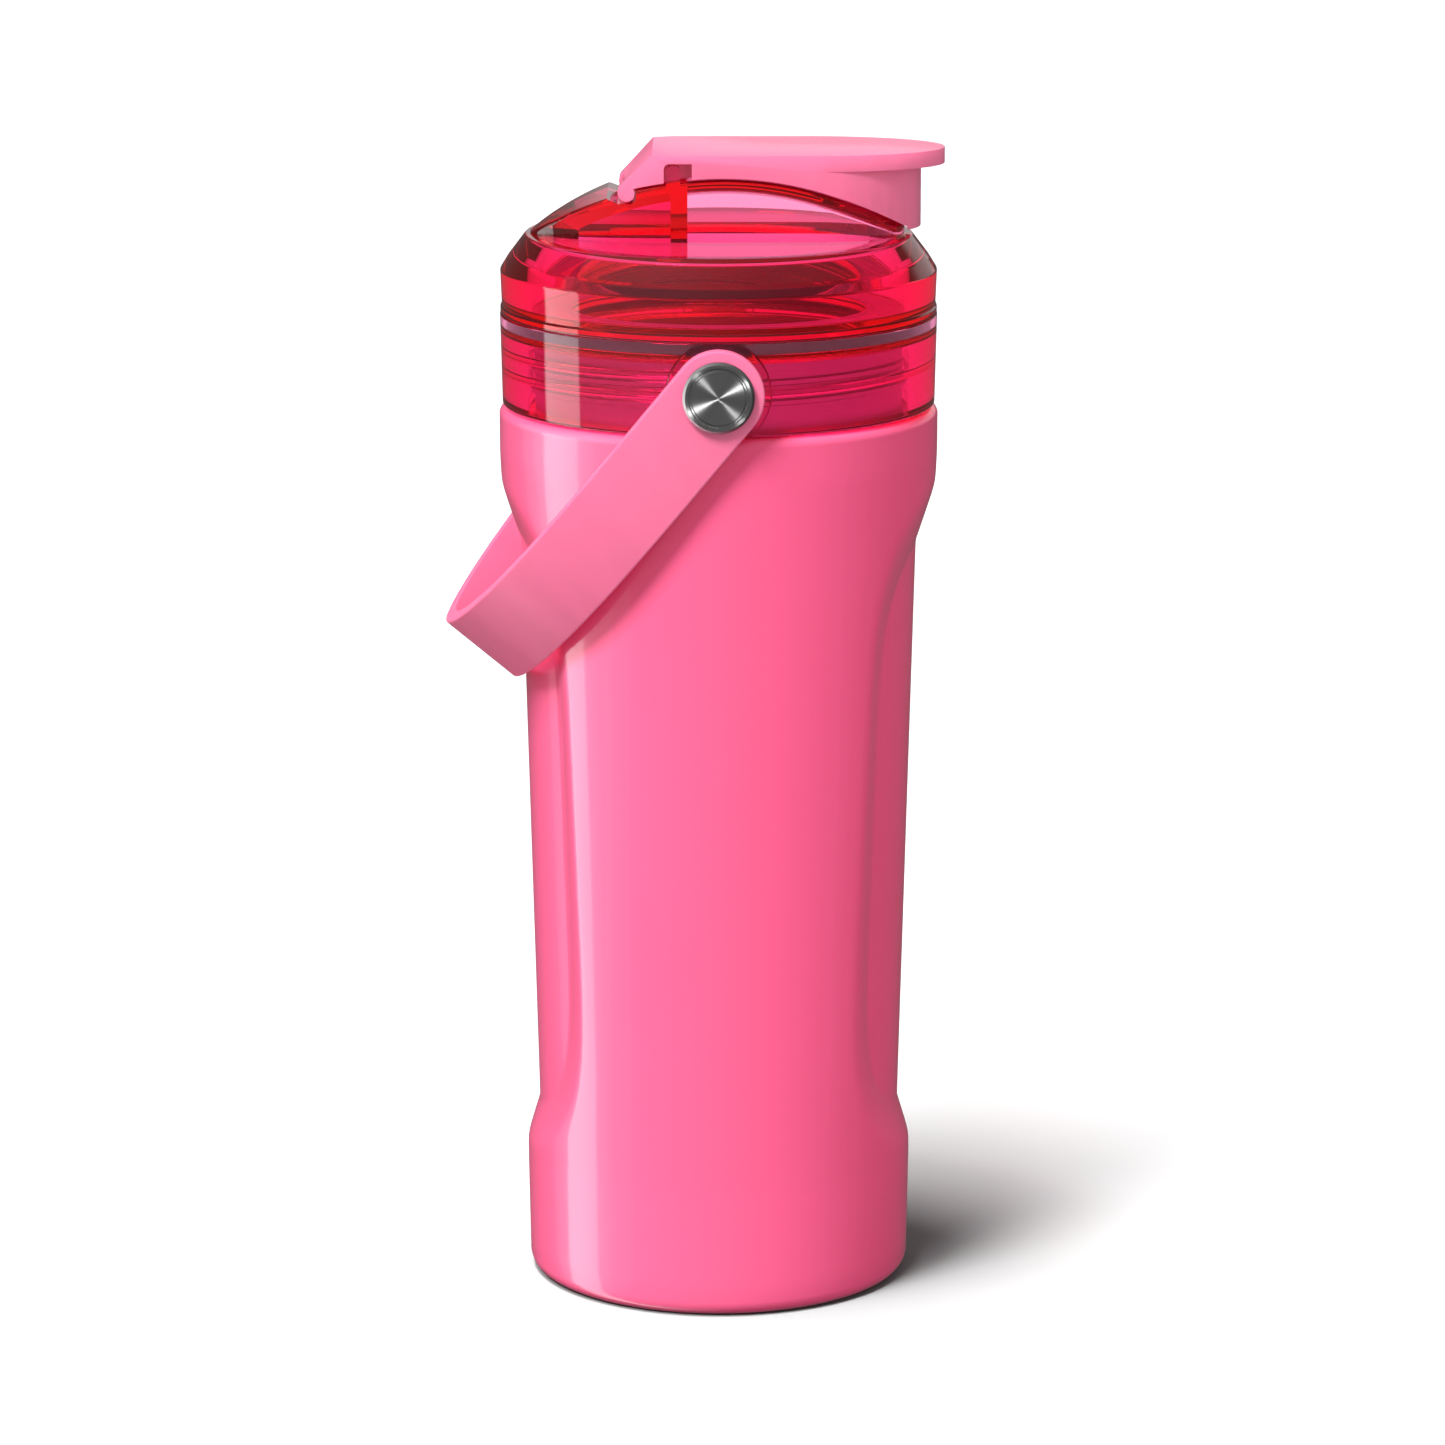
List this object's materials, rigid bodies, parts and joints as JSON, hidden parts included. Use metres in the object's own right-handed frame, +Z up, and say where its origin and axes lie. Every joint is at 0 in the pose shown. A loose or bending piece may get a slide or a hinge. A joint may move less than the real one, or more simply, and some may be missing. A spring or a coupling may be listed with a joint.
{
  "type": "protein shaker bottle",
  "caption": "Insulated steel shaker bottle with a translucent screw lid, a flip cap over its spout and a swinging carry loop.",
  "frame": {"origin": "centre of the base's underside, on the bottle's axis", "axes": "+Z up along the bottle's axis, +X towards the spout and the flip cap's tip, -Y the front, along the loop's pivot axis"},
  "size_m": [0.1012, 0.0994, 0.2334],
  "materials": {
    "powder_coat": "satin powder coat",
    "bare_steel": "brushed",
    "clear_pink": "translucent moulded plastic",
    "cap_plastic": "satin moulded plastic",
    "loop_silicone": "matte silicone",
    "gasket_silicone": "matte silicone",
    "seal_silicone": "matte silicone",
    "brass": "turned brass",
    "nylon": "moulded nylon"
  },
  "bodies": {
    "bottle": {"outer_shell": "powder_coat", "threaded_neck": "bare_steel", "base_plate": "bare_steel", "vacuum_seal": "bare_steel", "getter": "bare_steel", "inner_liner": "bare_steel", "neck_gasket": "seal_silicone", "collar": "clear_pink", "front_insert": "brass", "front_bush": "nylon", "front_screw": "bare_steel", "front_button": "bare_steel", "back_insert": "brass", "back_bush": "nylon", "back_screw": "bare_steel", "back_button": "bare_steel"},
    "loop": {"carry_loop": "loop_silicone"},
    "lid_seat": {"lid_gasket": "gasket_silicone"},
    "lid": {"lid": "clear_pink", "hinge_pin": "bare_steel"},
    "cap": {"flip_cap": "cap_plastic", "spout_seal": "seal_silicone"},
    "ball": {"mixing_ball": "bare_steel"}
  },
  "joints": [
    {"name": "loop_swing", "type": "hinge", "parent": "bottle", "child": "loop", "pos_m": [0, 0, 0.19035], "axis": [0, 1, 0], "range_deg": [0, 280]},
    {"name": "lid_lift", "type": "slide", "parent": "bottle", "child": "lid_seat", "axis": [0, 0, 1], "range_m": [0, 0.016]},
    {"name": "lid_turn", "type": "hinge", "parent": "lid_seat", "child": "lid", "pos_m": [0, 0, 0.2], "axis": [0, 0, 1], "range_deg": [0, 720]},
    {"name": "cap_flip", "type": "hinge", "parent": "lid", "child": "cap", "pos_m": [-0.0184, 0, 0.2256], "axis": [0, -1, 0], "range_deg": [0, 115]},
    {"name": "ball_drift", "type": "slide", "parent": "bottle", "child": "ball", "axis": [0, 0, 1], "range_m": [0, 0.125]}
  ],
  "couplings": [
    {"joint": "lid_lift", "follows": "lid_turn", "m_per_rad": 0.0012732}
  ]
}
